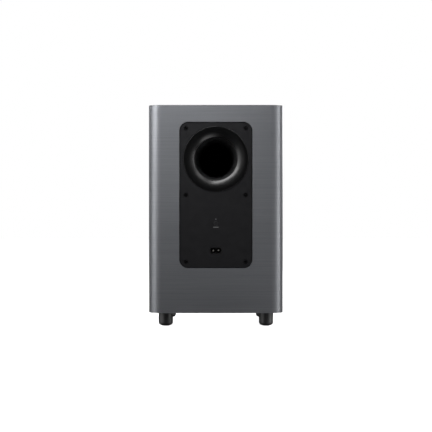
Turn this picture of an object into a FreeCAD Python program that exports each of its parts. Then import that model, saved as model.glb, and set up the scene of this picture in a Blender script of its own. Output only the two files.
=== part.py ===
import FreeCAD, Part
import math
import os
import re
import Sketcher
from FreeCAD import Placement, Rotation, Vector

# A wireless subwoofer. Origin: centre of its footprint, on the floor. +Z is up, the rear face with the
# bass port looks towards -Y, the plain front towards +Y. Millimetres throughout.

SIZES = {
    # cabinet
    "cab_width": 225,
    "cab_depth": 225,
    "cab_height": 370,
    "foot_height": 23,
    "corner_radius": 20,
    "foil": 0.5,
    "wall": 12,
    "floor_thick": 15,
    "wadding_thick": 12,
    "wadding_inset": 6,
    "soft_gap": 0.2,
    "wadding_bottom": 60,
    # rear plate
    "plate_width": 120.8,
    "plate_height": 243,
    "plate_drop": 28.5,
    "plate_corner": 14.2,
    "plate_thick": 3,
    "plate_sink": 1,
    "plate_gap": 0.6,
    "plate_edge": 0.8,
    "gasket_thick": 1,
    "screw_inset": 10.6,
    "screw_recess": 3.7,
    "screw_recess_depth": 1.6,
    # bass port
    "port_drop": 61.1,
    "port_radius": 36.5,
    "bell_width": 16.3,
    "bell_depth": 5.6,
    "neck_length": 16.7,
    "flange_lip": 1.35,
    "port_wall": 2.5,
    "collar_wall": 2.2,
    "collar_step": 1.8,
    "collar_socket": 5,
    "port_fit": 0.15,
    "port_hole_room": 1,
    "tube_length": 120,
    "throat_radius": 28,
    "inner_bell_radius": 13,
    # window in the rear board behind the electronics
    "window_width": 80,
    "window_height": 96,
    "window_rise": 15.5,
    "window_corner": 6,
    # electronics
    "board_gap": 14,
    "board_width": 74,
    "board_height": 90,
    "board_rise": 18.5,
    "board_thick": 1.6,
    "board_hole_inset": 5,
    "boss_radius": 3.5,
    "cover_depth": 48,
    "cover_wall": 2.5,
    "cover_flange": 8,
    "cover_room": 2,
    # parts on the main board, x across its middle and z up from its lower edge
    "transformer_x": -20,
    "transformer_z": 33,
    "core_width": 28,
    "core_height": 26,
    "core_depth": 12,
    "core_lift": 5,
    "core_leg": 9,
    "core_window_width": 6,
    "core_window_height": 17,
    "winding_depth": 22,
    "winding_room": 0.3,
    "capacitor_x": 20,
    "capacitor_z": 33,
    "capacitor_radius": 11,
    "capacitor_length": 34,
    "choke_x": 17,
    "choke_z": 10,
    "choke_radius": 6,
    "choke_wire": 3.8,
    "sink_x": -8,
    "sink_z": 77,
    "sink_width": 36,
    "sink_height": 20,
    "sink_base": 4,
    "fin_count": 7,
    "fin_pitch": 5.6,
    "fin_thick": 1.6,
    "fin_height": 24,
    "chip_width": 14,
    "chip_height": 12,
    "chip_thick": 2,
    "inductor_1_x": 17.5,
    "inductor_2_x": 31,
    "inductor_z": 73,
    "inductor_radius": 6,
    "inductor_length": 11,
    "inductor_bore": 2,
    "inductor_bore_depth": 3,
    "header_x": 28,
    "header_z": 54,
    "header_width": 9,
    "header_height": 6,
    "header_depth": 7,
    "wireless_x": -22,
    "wireless_z": 57,
    "wireless_width": 26,
    "wireless_height": 15,
    "wireless_thick": 1,
    "wireless_lift": 4,
    "wireless_header_width": 18,
    "wireless_header_height": 2.5,
    "shield_width": 17,
    "shield_height": 11,
    "shield_thick": 2.4,
    # controls on the rear plate, heights above the plate's lower edge
    "light_rise": 81.2,
    "button_rise": 74.5,
    "inlet_rise": 29,
    "light_radius": 0.9,
    "button_radius": 3.6,
    "button_room": 0.25,
    "button_proud": 0.3,
    "button_travel": 0.4,
    "button_stem": 1.8,
    "plunger_radius": 1.6,
    "plunger_play": 0.05,
    "switch_size": 6,
    "switch_height": 3.5,
    # mains inlet
    "inlet_width": 19.7,
    "inlet_height": 10.7,
    "inlet_room": 0.2,
    "inlet_floor": 4,
    "lobe_radius": 4.4,
    "pin_pitch": 8.6,
    "pin_radius": 1.2,
    "pin_sink": 1.5,
    "waist_height": 6.4,
    # bass driver
    "flange_radius": 83,
    "flange_thick": 1.5,
    "driver_sink": 6,
    "driver_room": 1.2,
    "driver_gasket": 1,
    "cutout_radius": 73,
    "screw_circle": 78,
    "lip_thick": 0.8,
    "lip_width": 6.1,
    "roll_inner": 6.1,
    "trim_thick": 2,
    "cone_rim": 5,
    "cone_wall": 1,
    "cone_depth": 31,
    "former_radius": 19.2,
    "former_wall": 0.4,
    "glue": 0.05,
    "coil_wall": 0.7,
    "coil_length": 13,
    "gap_room": 0.6,
    "dust_cap_radius": 27,
    "dust_cap_rise": 8,
    "ledge_height": 39.85,
    "ledge_inner": 45.5,
    "ledge_outer": 51.9,
    "seat_height": 52,
    "basket_window_angle": 38,
    "basket_window_count": 6,
    "top_plate_radius": 45,
    "top_plate_thick": 6,
    "magnet_radius": 48,
    "magnet_bore": 26,
    "magnet_thick": 15,
    "yoke_radius": 46,
    "yoke_thick": 6,
    "vent_radius": 5,
    "spider_thick": 0.7,
    "spider_wave": 1.5,
    "spider_waves": 12,
    # feet
    "foot_inset": 27.9,
    "foot_radius": 12.3,
    "foot_tip_radius": 12.05,
    "foot_round": 5.2,
    "pad_radius": 6.5,
    "pad_thick": 3,
    "pad_proud": 0.8,
    "foot_seat": 12,
    # screws
    "head_radius": 3,
    "head_height": 1.4,
    "shank_radius": 1.5,
    "cross_arm": 1.9,
    "cross_width": 0.8,
    "pilot_room": 0.05,
    "plate_screw_length": 9.5,
    "driver_screw_length": 9.5,
    "board_screw_length": 7,
    "foot_screw_length": 24,
    # speaker lead
    "wire_radius": 1.1,
    "wire_pitch": 3.2,
    "wire_depth": 30,
    "tab_pitch": 10,
    "terminal_angle": -62,
    "strip_width": 16,
    "strip_height": 9,
    "strip_thick": 1.6,
    "tab_width": 3.2,
    "tab_reach": 6.4,
    "tab_thick": 0.8,
    "tab_lift": 5,
}

# Places that several pieces share, each worked out from the sizes above.
PLACES = {
    "board_half_width": "cab_width/2 - foil",
    "board_half_depth": "cab_depth/2 - foil",
    "board_corner": "corner_radius - foil",
    "inner_half_width": "board_half_width - wall",
    "inner_half_depth": "board_half_depth - wall",
    "board_top": "cab_height - foil",
    "floor_top": "foot_height + floor_thick",
    "plate_top": "cab_height - plate_drop",
    "plate_bottom": "plate_top - plate_height",
    "plate_middle": "plate_top - plate_height/2",
    "plate_face": "-cab_depth/2 + plate_sink",
    "plate_back": "plate_face + plate_thick",
    "rebate_floor": "plate_back + gasket_thick",
    "screw_across": "plate_width/2 - screw_inset",
    "screw_along": "plate_height/2 - screw_inset + 0.5",
    "port_height": "plate_top - port_drop",
    "bell_outer": "port_radius + bell_width",
    "flange_outer": "bell_outer + flange_lip",
    "collar_outer": "bell_outer - collar_step",
    "bell_end": "-cab_depth/2 + bell_depth",
    "tube_start": "bell_end + neck_length",
    "tube_end": "tube_start + tube_length",
    "waist": "port_radius - throat_radius",
    "port_hole": "collar_outer + port_hole_room",
    "window_middle": "plate_bottom + window_rise + window_height/2",
    "board_near": "plate_back + board_gap",
    "board_far": "board_near + board_thick",
    "board_low": "plate_bottom + board_rise",
    "board_middle": "board_low + board_height/2",
    "cover_far": "cover_depth - inner_half_depth",
    "light_height": "plate_bottom + light_rise",
    "button_height": "plate_bottom + button_rise",
    "inlet_height_up": "plate_bottom + inlet_rise",
    "inlet_face": "plate_face - 0.2",
    "inlet_floor_face": "board_near - inlet_floor",
    "button_face": "plate_face - button_proud",
    "switch_face": "board_near - switch_height",
    "plunger_face": "switch_face - button_travel - 0.2",
    "recess_ceiling": "foot_height + driver_sink",
    "flange_back": "recess_ceiling - driver_gasket",
    "flange_front": "flange_back - flange_thick",
    "lip_front": "flange_front - lip_thick",
    "frame_inner": "flange_radius - 17",
    "roll_outer_edge": "frame_inner + 0.1",
    "roll_middle": "roll_outer_edge - roll_inner",
    "roll_inner_edge": "roll_middle - roll_inner",
    "cone_outer": "roll_inner_edge - 0.4",
    "cone_face_start": "cone_outer - cone_rim",
    "former_outer": "former_radius + former_wall",
    "neck_inner": "former_outer + glue",
    "neck_height": "flange_front + cone_depth",
    "ledge": "flange_front + ledge_height",
    "seat": "flange_front + seat_height",
    "basket_top": "seat + flange_thick",
    "top_plate_top": "basket_top + top_plate_thick",
    "magnet_top": "top_plate_top + magnet_thick",
    "yoke_top": "magnet_top + yoke_thick",
    "coil_outer": "former_outer + coil_wall",
    "coil_middle": "basket_top + top_plate_thick/2",
    "gap_outer": "coil_outer + gap_room",
    "pole_radius": "former_radius - gap_room",
    "former_top": "coil_middle + coil_length/2 + 1.5",
    "foot_across": "cab_width/2 - foot_inset",
    "foot_along": "cab_depth/2 - foot_inset",
    "wire_exit": "window_width/2 - 3.5",
    "wire_plane": "wire_depth - inner_half_depth",
}

WORD = re.compile(r"[a-z][a-z0-9_]*")

document = FreeCAD.newDocument("Subwoofer")
sheet = document.addObject("Spreadsheet::Sheet", "Dims")
nodes = {}


def bound(text):
    """The same expression in the sheet's cells alone: places are written out, sizes get the sheet's name."""
    def spelled(word):
        name = word.group()
        if name in PLACES:
            return f"({bound(PLACES[name])})"
        return "Dims." + name if name in SIZES else name

    return WORD.sub(spelled, text)


def fill_sheet():
    for row, (name, size) in enumerate(SIZES.items(), start=1):
        sheet.set(f"A{row}", name)
        sheet.set(f"B{row}", str(size))
        sheet.setAlias(f"B{row}", name)
    document.recompute()


def value(text):
    return float(sheet.evalExpression(bound(text)))


def minus(text):
    return f"-({text})"


# ---------------------------------------------------------------- sketches and features

def plane(body, role):
    return next(feature for feature in body.Origin.OriginFeatures if feature.Role == role)


def new_body(name):
    body = document.addObject("PartDesign::Body", name)
    body.Label = name
    body.AllowCompound = True
    nodes[name] = body
    return body


def new_sketch(body, role, offset):
    """A sketch on one of the body's origin planes, moved by offset, an expression for each local axis."""
    sketch = body.newObject("Sketcher::SketchObject", body.Name + "_sketch")
    sketch.AttachmentSupport = [(plane(body, role), "")]
    sketch.MapMode = "FlatFace"
    for axis, text in zip("xyz", offset):
        if text != "0":
            sketch.setExpression(f"AttachmentOffset.Base.{axis}", bound(text))
    return sketch


def pin_point(sketch, shape, point, place, here):
    for kind, text, number in zip(("DistanceX", "DistanceY"), place, here):
        index = sketch.addConstraint(Sketcher.Constraint(kind, -1, 1, shape, point, number))
        sketch.setExpression(f"Constraints[{index}]", bound(text))


def pin_radius(sketch, shape, radius):
    index = sketch.addConstraint(Sketcher.Constraint("Radius", shape, value(radius)))
    sketch.setExpression(f"Constraints[{index}]", bound(radius))


def arc_between(start, end, radius, turn):
    """The shorter arc from start to end, bending to the left or the right."""
    half = (end - start).Length / 2
    rise = math.sqrt(max(radius * radius - half * half, 0))
    along = (end - start).normalize()
    side = Vector(-along.y, along.x, 0) * (rise if turn == "left" else -rise)
    centre = (start + end) * 0.5 + side
    first, last = (start, end) if turn == "left" else (end, start)
    angles = [math.atan2(spot.y - centre.y, spot.x - centre.x) for spot in (first, last)]
    return Part.ArcOfCircle(Part.Circle(centre, Vector(0, 0, 1), radius), *angles)


def draw_outline(sketch, outline):
    """A closed outline. Each point is (x, y), with (turn, radius) added where an arc leads to the next."""
    spots = [(value(point[0]), value(point[1])) for point in outline]
    ends = []
    for index, point in enumerate(outline):
        start = Vector(*spots[index], 0)
        end = Vector(*spots[(index + 1) % len(outline)], 0)
        if len(point) == 2:
            shape = sketch.addGeometry(Part.LineSegment(start, end), False)
            ends.append((shape, 1, 2))
        else:
            turn, radius = point[2]
            shape = sketch.addGeometry(arc_between(start, end, value(radius), turn), False)
            ends.append((shape, 1, 2) if turn == "left" else (shape, 2, 1))
            pin_radius(sketch, shape, radius)
    for index, (shape, first, last) in enumerate(ends):
        following = ends[(index + 1) % len(ends)]
        sketch.addConstraint(Sketcher.Constraint("Coincident", shape, last, following[0], following[1]))
        pin_point(sketch, shape, first, outline[index][:2], spots[index])


def draw_circle(sketch, circle):
    x, y, radius = circle
    spot = (value(x), value(y))
    shape = sketch.addGeometry(Part.Circle(Vector(*spot, 0), Vector(0, 0, 1), value(radius)), False)
    pin_radius(sketch, shape, radius)
    pin_point(sketch, shape, 3, (x, y), spot)


def draw(sketch, shapes):
    for shape in shapes:
        if isinstance(shape, tuple):
            draw_circle(sketch, shape)
        else:
            draw_outline(sketch, shape)


# Where a sketch for a slab from start to stop is set, so that its pad or pocket runs between them.
def slab_offset(role, start, stop, cutting):
    if role == "XZ_Plane":
        return ("0", "0", minus(start if cutting else stop))
    return ("0", "0", stop if cutting else start)


def pad(body, role, start, stop, *shapes):
    sketch = new_sketch(body, role, slab_offset(role, start, stop, False))
    draw(sketch, shapes)
    feature = body.newObject("PartDesign::Pad", body.Name + "_pad")
    feature.Profile = sketch
    feature.setExpression("Length", bound(f"({stop}) - ({start})"))
    document.recompute()
    return feature


def pocket(body, role, start, stop, *shapes):
    before = body.Shape.Volume
    sketch = new_sketch(body, role, slab_offset(role, start, stop, True))
    draw(sketch, shapes)
    feature = body.newObject("PartDesign::Pocket", body.Name + "_pocket")
    feature.Profile = sketch
    feature.setExpression("Length", bound(f"({stop}) - ({start})"))
    document.recompute()
    if body.Shape.Volume > before - 1e-6:
        raise RuntimeError(f"a pocket in {body.Label} cuts nothing")
    return feature


def turned(name, outline, axis="Z", across="0", along="0"):
    """A body of revolution. Its outline is in (radius, distance along the axis) points."""
    body = new_body(name)
    if axis == "Z":
        sketch = new_sketch(body, "XZ_Plane", (across, "0", minus(along)))
        draw_outline(sketch, outline)
    else:
        swap = {"left": "right", "right": "left"}
        mirrored = [(p[1], p[0]) if len(p) == 2 else (p[1], p[0], (swap[p[2][0]], p[2][1])) for p in outline]
        sketch = new_sketch(body, "YZ_Plane", ("0", along, across))
        draw_outline(sketch, mirrored)
    feature = body.newObject("PartDesign::Revolution", name + "_turn")
    feature.Profile = sketch
    feature.ReferenceAxis = (sketch, ["V_Axis" if axis == "Z" else "H_Axis"])
    feature.Angle = 360
    document.recompute()
    return body


def fillet(body, radius, wanted):
    """Rounds the edges of the body's newest shape for which wanted(edge) is true."""
    base = body.Tip
    names = [f"Edge{number}" for number, edge in enumerate(body.Shape.Edges, start=1) if wanted(edge)]
    feature = body.newObject("PartDesign::Fillet", body.Name + "_fillet")
    feature.Base = (base, names)
    feature.setExpression("Radius", bound(radius))
    document.recompute()
    return feature


def rounded(width, height, radius, x="0", y="0"):
    left, right = f"{x} - ({width})/2", f"{x} + ({width})/2"
    low, high = f"{y} - ({height})/2", f"{y} + ({height})/2"
    bend = ("left", radius)
    return [
        (f"{left} + {radius}", low),
        (f"{right} - ({radius})", low, bend),
        (right, f"{low} + {radius}"),
        (right, f"{high} - ({radius})", bend),
        (f"{right} - ({radius})", high),
        (f"{left} + {radius}", high, bend),
        (left, f"{high} - ({radius})"),
        (left, f"{low} + {radius}", bend),
    ]


def rectangle(width, height):
    return [
        (f"-({width})/2", f"-({height})/2"),
        (f"({width})/2", f"-({height})/2"),
        (f"({width})/2", f"({height})/2"),
        (f"-({width})/2", f"({height})/2"),
    ]


def cross(x, y):
    """The outline of a cross-head screw's drive."""
    reach, thin = "cross_arm", "cross_width/2"
    arm = [(reach, minus(thin)), (reach, thin), (thin, thin)]
    outline = []
    for _ in range(4):
        outline += [(f"{x} + {u}", f"{y} + {v}") for u, v in arm]
        arm = [(minus(v), u) for u, v in arm]
    return outline


def screw_group(name, role, seat, head_side, length, places):
    """Cross-head screws, all alike, whose heads rest on the plane at seat. head_side is -1 or 1."""
    body = new_body(name)
    tip = f"({seat}) - ({length})" if head_side > 0 else f"({seat}) + ({length})"
    top = f"({seat}) + head_height" if head_side > 0 else f"({seat}) - head_height"
    shank = (tip, seat) if head_side > 0 else (seat, tip)
    head = (seat, top) if head_side > 0 else (top, seat)
    pad(body, role, *head, *[(x, y, "head_radius") for x, y in places])
    pad(body, role, *shank, *[(x, y, "shank_radius") for x, y in places])
    drive = (f"{top} - 0.9", top) if head_side > 0 else (top, f"{top} + 0.9")
    pocket(body, role, *drive, *[cross(x, y) for x, y in places])
    return body


# ---------------------------------------------------------------- primitives and booleans

def primitive(kind, name, position, **sizes):
    solid = document.addObject(kind, name)
    for size, text in sizes.items():
        solid.setExpression(size, bound(text))
    for axis, text in zip("xyz", position):
        solid.setExpression(f"Placement.Base.{axis}", bound(text))
    return solid


def block(name, x, y, z):
    """A box from three (low, high) pairs."""
    lengths = [f"({high}) - ({low})" for low, high in (x, y, z)]
    corner = (x[0], y[0], z[0])
    return primitive("Part::Box", name, corner, Length=lengths[0], Width=lengths[1], Height=lengths[2])


def rod(name, radius, x, y, z):
    """A cylinder along Y, from the first to the second value of y."""
    solid = primitive("Part::Cylinder", name, (x, y[0], z), Radius=radius, Height=f"({y[1]}) - ({y[0]})")
    solid.Placement = Placement(solid.Placement.Base, Rotation(Vector(1, 0, 0), -90))
    return solid


def fuse(name, parts):
    joined = document.addObject("Part::MultiFuse", name)
    joined.Shapes = parts
    joined.Refine = True
    return joined


def cut(name, base, tools):
    result = document.addObject("Part::Cut", name)
    result.Base = base
    result.Tool = tools[0] if len(tools) == 1 else fuse(name + "_tools", tools)
    return result


def group(name, parts):
    together = document.addObject("Part::Compound", name)
    together.Links = parts
    return together


def node(name, thing):
    thing.Label = name
    nodes[name] = thing
    return thing


# ---------------------------------------------------------------- cabinet

def quarter_turned(outline, quarters):
    """The outline turned about the origin by a number of quarter turns."""
    for _ in range(quarters):
        outline = [(minus(point[1]), point[0], *point[2:]) for point in outline]
    return outline


def mitred_outline(half_run, half_away):
    """A wall seen from above, with mitred ends and half of each rounded corner. It lies at +Y."""
    bend = f"({half_run}) - board_corner + board_corner/sqrt(2)"
    bend_away = f"({half_away}) - board_corner + board_corner/sqrt(2)"
    start = f"({half_run}) - board_corner"
    inner, inner_away = f"({half_run}) - wall", f"({half_away}) - wall"
    arc = ("left", "board_corner")
    return [
        (inner, inner_away),
        (bend, bend_away, arc),
        (start, half_away),
        (minus(start), half_away, arc),
        (minus(bend), bend_away),
        (minus(inner), inner_away),
    ]


def make_wall(name, half_run, half_away, quarters):
    body = new_body(name)
    outline = quarter_turned(mitred_outline(half_run, half_away), quarters)
    pad(body, "XY_Plane", "foot_height", "board_top", outline)
    return body


def plate_screw_places():
    return [
        (sign + "screw_across", "plate_middle" + up)
        for sign in ("-", "")
        for up in (" - screw_along", "", " + screw_along")
    ]


def window(margin="0"):
    size = f"window_width + 2*({margin})", f"window_height + 2*({margin})"
    return rounded(*size, "window_corner", "0", "window_middle")


def make_rear_wall():
    """The rear board: a rebate for the plate, the port's hole, the electronics window and pilot holes."""
    body = make_wall("rear_panel", "board_half_width", "board_half_depth", 2)
    face = "-board_half_depth"
    rebate = ("plate_width + 2*plate_gap", "plate_height + 2*plate_gap", "plate_corner + plate_gap")
    pocket(body, "XZ_Plane", face, "rebate_floor", rounded(*rebate, "0", "plate_middle"))
    pocket(body, "XZ_Plane", face, "-inner_half_depth", ("0", "port_height", "port_hole"))
    pocket(body, "XZ_Plane", face, "-inner_half_depth", window())
    pilots = [(x, y, "shank_radius + pilot_room") for x, y in plate_screw_places()]
    pocket(body, "XZ_Plane", face, "-inner_half_depth", *pilots)


def foot_places():
    return [(x + "foot_across", y + "foot_along") for x in ("-", "") for y in ("-", "")]


def driver_screw_places():
    places = []
    for number in range(6):
        angle = f"{30 + 60 * number}"
        places.append((f"screw_circle*cos({angle})", f"screw_circle*sin({angle})"))
    return places


def make_floor():
    """The bottom board, which carries the driver in a recess, with pilot holes for driver and feet."""
    body = new_body("bottom_panel")
    pad(body, "XY_Plane", "foot_height", "floor_top", rectangle("2*inner_half_width", "2*inner_half_depth"))
    pocket(body, "XY_Plane", "foot_height", "recess_ceiling", ("0", "0", "flange_radius + driver_room"))
    pocket(body, "XY_Plane", "foot_height", "floor_top", ("0", "0", "cutout_radius"))
    pilots = [(x, y, "shank_radius + pilot_room") for x, y in driver_screw_places() + foot_places()]
    pocket(body, "XY_Plane", "foot_height", "floor_top - 1.5", *pilots)


def make_cabinet():
    make_wall("front_panel", "board_half_width", "board_half_depth", 0)
    make_wall("left_panel", "board_half_depth", "board_half_width", 1)
    make_wall("right_panel", "board_half_depth", "board_half_width", 3)
    make_rear_wall()
    make_floor()
    top = new_body("top_panel")
    pad(top, "XY_Plane", "board_top - wall", "board_top", rectangle("2*inner_half_width", "2*inner_half_depth"))


def make_wrap():
    """The foil round the four walls, cut out over the rear plate's rebate."""
    body = new_body("cabinet_wrap")
    outside = rounded("cab_width", "cab_depth", "corner_radius")
    inside = rounded("2*board_half_width", "2*board_half_depth", "board_corner")
    pad(body, "XY_Plane", "foot_height", "board_top", outside, inside)
    rebate = ("plate_width + 2*plate_gap", "plate_height + 2*plate_gap", "plate_corner + plate_gap")
    opening = rounded(*rebate, "0", "plate_middle")
    pocket(body, "XZ_Plane", "-cab_depth/2", "-board_half_depth", opening)


def make_laminate():
    body = new_body("top_laminate")
    pad(body, "XY_Plane", "board_top", "cab_height", rounded("cab_width", "cab_depth", "corner_radius"))


def make_wadding():
    """A mat of polyester wadding that hangs against the inside of the front wall."""
    body = new_body("damping_wadding")
    far, low = "inner_half_depth - soft_gap", "wadding_bottom"
    high = "board_top - wall - wadding_inset"
    outline = rounded("2*(inner_half_width - wadding_inset)", f"{high} - {low}", "8", "0", f"({high} + {low})/2")
    pad(body, "XZ_Plane", f"{far} - wadding_thick", far, outline)


# ---------------------------------------------------------------- rear plate and port

def board_screw_places():
    x = "board_width/2 - board_hole_inset"
    y = "board_height/2 - board_hole_inset"
    return [(sign + f"({x})", f"board_middle {up} ({y})") for sign in ("-", "") for up in "-+"]


def make_plate():
    body = new_body("rear_plate")
    outline = rounded("plate_width", "plate_height", "plate_corner", "0", "plate_middle")
    pad(body, "XZ_Plane", "plate_face", "plate_back", outline)
    face = value("plate_face")
    fillet(body, "plate_edge", lambda edge: all(abs(end.Y - face) < 1e-6 for end in edge.Vertexes))
    pad(body, "XZ_Plane", "plate_back", "board_near", *[(x, y, "boss_radius") for x, y in board_screw_places()])
    openings = [
        ("0", "port_height", "collar_outer + port_fit"),
        ("0", "light_height", "light_radius + port_fit"),
        ("0", "button_height", "button_radius + button_room"),
        rounded("inlet_width + 2*inlet_room", "inlet_height + 2*inlet_room", "inlet_height/2 - 0.4", "0",
                "inlet_height_up"),
    ]
    pocket(body, "XZ_Plane", "plate_face", "plate_back", *openings)
    places = plate_screw_places()
    recesses = [(x, y, "screw_recess") for x, y in places]
    pocket(body, "XZ_Plane", "plate_face", "plate_face + screw_recess_depth", *recesses)
    holes = [(x, y, "shank_radius + port_fit") for x, y in places]
    pocket(body, "XZ_Plane", "plate_face", "plate_back", *holes)
    threads = [(x, y, "shank_radius + pilot_room") for x, y in board_screw_places()]
    pocket(body, "XZ_Plane", "board_near - board_screw_length", "board_near", *threads)


def make_gasket():
    """The foam seal between the plate and the floor of its rebate."""
    body = new_body("plate_gasket")
    outline = rounded("plate_width - 2", "plate_height - 2", "plate_corner - 1", "0", "plate_middle")
    holes = [(x, y, "shank_radius + port_fit") for x, y in plate_screw_places()]
    port = ("0", "port_height", "port_hole")
    pad(body, "XZ_Plane", "plate_back", "rebate_floor", outline, port, window(), *holes)


def make_port():
    """The dished bell at the rear face, the waisted tube behind it and a second bell inside the cabinet."""
    front = "-cab_depth/2"
    dish = bend_radius("bell_width", "bell_depth")
    back_dish = f"{dish} - port_wall"

    def behind(inward):
        """Place along the axis of the dish's back, this far inward from its outer edge."""
        return f"{front} + {dish} - sqrt(({back_dish})^2 - ({inward})^2)"

    turned("port_flare", [
        ("bell_outer", front, ("right", dish)),
        ("port_radius", "bell_end"),
        ("port_radius", "tube_start"),
        ("port_radius + port_wall", "tube_start"),
        ("port_radius + port_wall", behind("bell_width - port_wall"), ("left", back_dish)),
        ("collar_outer - collar_wall", behind("collar_step + collar_wall")),
        ("collar_outer - collar_wall", "rebate_floor - 0.4"),
        ("collar_outer", "rebate_floor - 0.4"),
        ("collar_outer", "plate_face"),
        ("flange_outer", "plate_face"),
        ("flange_outer", f"{front} + 0.4", ("right", "0.4")),
        ("flange_outer - 0.4", front),
    ], "Y", "0", "port_height")
    socket = "port_radius + port_wall + port_fit"
    sleeve = f"{socket} + port_wall"
    turned("port_tube", [
        ("port_radius", "tube_start", ("right", bend_radius("tube_length/2", "waist"))),
        ("port_radius", "tube_end"),
        ("port_radius + port_wall", "tube_end"),
        ("port_radius + port_wall", "tube_end - 5", ("left", bend_radius("tube_length/2 - 5", "waist + 1.3"))),
        (sleeve, "tube_start + 5"),
        (sleeve, "tube_start - collar_socket"),
        (socket, "tube_start - collar_socket"),
        (socket, "tube_start"),
    ], "Y", "0", "port_height")
    far = "tube_end + inner_bell_radius"
    centre = "port_radius + inner_bell_radius"
    back = "inner_bell_radius - port_wall"
    turned("port_inner_flare", [
        ("port_radius", "tube_end"),
        (socket, "tube_end"),
        (socket, "tube_end - 4"),
        (sleeve, "tube_end - 4"),
        (sleeve, f"tube_end + sqrt(({back})^2 - ({centre} - ({sleeve}))^2)", ("right", back)),
        (centre, f"{far} - port_wall"),
        (f"{centre} + 2", f"{far} - port_wall"),
        (f"{centre} + 2", far),
        (centre, far, ("left", "inner_bell_radius")),
    ], "Y", "0", "port_height")


def bend_radius(half_chord, rise):
    """Radius of the arc that rises this much over a chord."""
    return f"(({half_chord})^2 + ({rise})^2)/(2*({rise}))"


def make_light_and_button():
    turned("light_pipe", [
        ("0", "plate_face - 0.1"),
        ("light_radius", "plate_face - 0.1"),
        ("light_radius", "plate_back"),
        ("light_radius + 0.8", "plate_back"),
        ("light_radius + 0.8", "plate_back + 1"),
        ("light_radius", "plate_back + 1"),
        ("light_radius", "board_near - 3.4"),
        ("0", "board_near - 3.4"),
    ], "Y", "0", "light_height")
    turned("status_light", [
        ("0", "board_near - 3.2"),
        ("0.7", "board_near - 3.2", ("left", "0.8")),
        ("1.5", "board_near - 2.4"),
        ("1.5", "board_near"),
        ("0", "board_near"),
    ], "Y", "0", "light_height")
    catch = "plate_back + 0.1"
    turned("connect_button", [
        ("0", "button_face"),
        ("button_radius - 0.4", "button_face", ("left", "0.4")),
        ("button_radius", "button_face + 0.4"),
        ("button_radius", catch),
        ("button_radius + 1", catch),
        ("button_radius + 1", f"{catch} + 1"),
        ("button_stem", f"{catch} + 1"),
        ("button_stem", "plunger_face - plunger_play"),
        ("0", "plunger_face - plunger_play"),
    ], "Y", "0", "button_height")
    node("switch_plunger", rod(
        "plunger", "plunger_radius", "0", ("plunger_face", "switch_face + 1"), "button_height"))
    half = "switch_size/2"
    case = block("case", (minus(half), half), ("switch_face", "board_near"),
                 (f"button_height - {half}", f"button_height + {half}"))
    well = rod("well", "plunger_radius + 0.2", "0", ("switch_face - 1", "switch_face + 1 + button_travel + 0.2"),
               "button_height")
    node("switch_body", cut("switch_cut", case, [well]))


def make_inlet():
    """A figure-8 mains inlet, whose socket is two round lobes joined by a waist."""
    body = new_body("mains_inlet_body")
    outline = rounded("inlet_width", "inlet_height", "inlet_height/2 - 0.6", "0", "inlet_height_up")
    pad(body, "XZ_Plane", "inlet_face", "board_near", outline)
    half = "pin_pitch/2"
    for x in (minus(half), half):
        pocket(body, "XZ_Plane", "inlet_face", "inlet_floor_face", (x, "inlet_height_up", "lobe_radius"))
    waist = rounded("pin_pitch", "waist_height", "0.5", "0", "inlet_height_up")
    pocket(body, "XZ_Plane", "inlet_face", "inlet_floor_face", waist)
    holes = [(x, "inlet_height_up", "pin_radius + pilot_room") for x in (minus(half), half)]
    pocket(body, "XZ_Plane", "inlet_floor_face", "board_near", *holes)
    span = ("inlet_face + pin_sink", "board_far + 1.5")
    pins = [rod(f"pin_{number}", "pin_radius", x, span, "inlet_height_up")
            for number, x in enumerate((minus(half), half))]
    node("mains_inlet_pins", group("pins", pins))


# ---------------------------------------------------------------- electronics

def make_board():
    body = new_body("main_board")
    outline = rounded("board_width", "board_height", "2", "0", "board_middle")
    pad(body, "XZ_Plane", "board_near", "board_far", outline)
    holes = [(x, y, "shank_radius + port_fit") for x, y in board_screw_places()]
    holes += [(x, "inlet_height_up", "pin_radius + pilot_room") for x in ("-pin_pitch/2", "pin_pitch/2")]
    pocket(body, "XZ_Plane", "board_near", "board_far", *holes)


def box_on_board(name, x, z, width, height, depth, lift="0"):
    """A box on the inner side of the main board, centred at x and at z above the board's lower edge."""
    middle = f"board_low + {z}"
    near = f"board_far + {lift}"
    return block(name, (f"{x} - ({width})/2", f"{x} + ({width})/2"), (near, f"{near} + {depth}"),
                 (f"{middle} - ({height})/2", f"{middle} + ({height})/2"))


def make_transformer():
    """A ferrite core with two windows, and the winding round its middle leg."""
    x, z = "transformer_x", "transformer_z"
    core = box_on_board("core_block", x, z, "core_width", "core_height", "core_depth", "core_lift")
    step = "(core_leg + core_window_width)/2"
    windows = [box_on_board(f"core_window_{side}", f"{x} + {side}*{step}", z, "core_window_width",
                            "core_window_height", "core_depth + 2", "core_lift - 1") for side in ("1", "-1")]
    node("transformer_core", cut("core_cut", core, windows))
    wound = box_on_board("wound", x, z, "core_leg + 2*(core_window_width - winding_room)",
                         "core_window_height - 2*winding_room", "winding_depth")
    leg = box_on_board("leg_room", x, z, "core_leg + 0.2", "core_window_height + 1", "core_depth + 0.2",
                       "core_lift - 0.1")
    node("transformer_winding", cut("winding_cut", wound, [leg]))


def make_heat_sink():
    x, z = "sink_x", "sink_z"
    base = box_on_board("sink_base", x, z, "sink_width", "sink_height", "sink_base", "chip_thick")
    fins = [box_on_board(f"fin_{number}", f"{x} + fin_pitch*({number} - (fin_count - 1)/2)", z, "fin_thick",
                         "sink_height", "fin_height", "chip_thick + sink_base - 0.1")
            for number in range(SIZES["fin_count"])]
    node("heat_sink", fuse("sink", [base, *fins]))
    node("amplifier_chip", box_on_board("chip", x, z, "chip_width", "chip_height", "chip_thick"))


def on_board_rod(name, radius, x, z, start, stop):
    return rod(name, radius, x, (f"board_far + {start}", f"board_far + {stop}"), f"board_low + {z}")


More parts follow.
